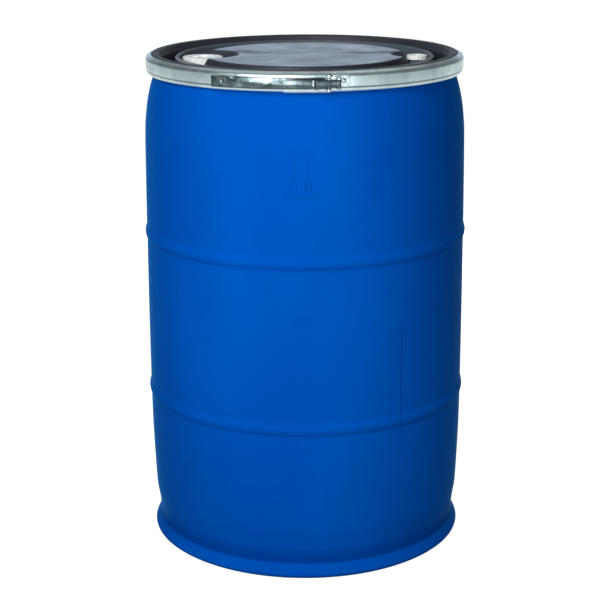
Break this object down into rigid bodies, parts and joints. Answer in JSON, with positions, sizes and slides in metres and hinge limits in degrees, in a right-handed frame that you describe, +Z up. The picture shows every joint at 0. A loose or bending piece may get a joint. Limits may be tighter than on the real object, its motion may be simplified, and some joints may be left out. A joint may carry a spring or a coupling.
{
  "type": "open-head plastic drum",
  "caption": "Open-head plastic drum with rolling hoops, a black lid with screw bungs and a lever-lock clamp ring.",
  "frame": {"origin": "on the floor, under the axis of the drum", "axes": "+Z up along the axis, -Y to the front where the lever is, +X to the right seen from the front"},
  "size_m": [0.6064, 0.6088, 0.927],
  "materials": {
    "blue_hdpe": "blow-moulded high-density polyethylene, satin, fine orange-peel texture with light scuffs",
    "black_hdpe": "moulded black polyethylene, satin, smoother on the central disc",
    "natural_hdpe": "unpigmented milky polyethylene",
    "black_rubber": "moulded rubber seal",
    "galvanised_sheet": "roll-formed galvanised sheet with fine rolling lines",
    "zinc_plated_steel": "bright zinc-plated pressed steel"
  },
  "bodies": {
    "drum": {"drum_body": "blue_hdpe"},
    "lid": {"lid": "black_hdpe", "lid_gasket": "black_rubber"},
    "closure_ring": {"closure_band": "galvanised_sheet", "lever_bracket": "galvanised_sheet", "lever_bracket_rivet_left": "zinc_plated_steel", "lever_bracket_rivet_right": "zinc_plated_steel", "lever_pivot_pin": "zinc_plated_steel", "seal_lug": "galvanised_sheet", "seal_lug_rivet": "zinc_plated_steel"},
    "band_free_end": {"link_bracket": "galvanised_sheet", "link_bracket_rivet": "zinc_plated_steel", "link_bracket_pin": "zinc_plated_steel"},
    "lever": {"lever": "zinc_plated_steel", "link_pin": "zinc_plated_steel"},
    "link": {"link": "zinc_plated_steel"},
    "large_bung_seal": {"large_bung_gasket": "black_rubber"},
    "large_bung": {"large_bung": "natural_hdpe"},
    "small_bung_seal": {"small_bung_gasket": "black_rubber"},
    "small_bung": {"small_bung": "natural_hdpe"}
  },
  "joints": [
    {"name": "ring_lift", "type": "slide", "parent": "drum", "child": "closure_ring", "axis": [0, 0, 1], "range_m": [0, 0.3]},
    {"name": "lever_swing", "type": "hinge", "parent": "closure_ring", "child": "lever", "pos_m": [0.0405, -0.29675, 0.9075], "axis": [0, 0, 1], "range_deg": [0, 130]},
    {"name": "band_opening", "type": "hinge", "parent": "closure_ring", "child": "band_free_end", "pos_m": [0, 0.287, 0.9075], "axis": [0, 0, 1], "range_deg": [0, 2.85], "deforming": ["closure_band"]},
    {"name": "link_swing", "type": "hinge", "parent": "lever", "child": "link", "pos_m": [0.0205, -0.2988, 0.907], "axis": [0, 0, 1], "range_deg": [-104.6, 0]},
    {"name": "lid_lift", "type": "slide", "parent": "drum", "child": "lid", "axis": [0, 0, 1], "range_m": [0, 0.15]},
    {"name": "large_bung_turn", "type": "hinge", "parent": "large_bung_seal", "child": "large_bung", "pos_m": [-0.188, 0, 0.905], "axis": [0, 0, 1], "range_deg": [0, 3240]},
    {"name": "large_bung_rise", "type": "slide", "parent": "lid", "child": "large_bung_seal", "axis": [0, 0, 1], "range_m": [0, 0.02]},
    {"name": "small_bung_turn", "type": "hinge", "parent": "small_bung_seal", "child": "small_bung", "pos_m": [0.208, -0.006, 0.9115], "axis": [0, 0, 1], "range_deg": [0, 3240]},
    {"name": "small_bung_rise", "type": "slide", "parent": "lid", "child": "small_bung_seal", "axis": [0, 0, 1], "range_m": [0, 0.0165]}
  ],
  "couplings": [
    {"joint": "band_opening", "follows": "lever_swing", "ratio": 0.021826},
    {"joint": "link_swing", "follows": "lever_swing", "ratio": -0.80301},
    {"joint": "large_bung_rise", "follows": "large_bung_turn", "m_per_rad": 0.00035152},
    {"joint": "small_bung_rise", "follows": "small_bung_turn", "m_per_rad": 0.00028875}
  ]
}
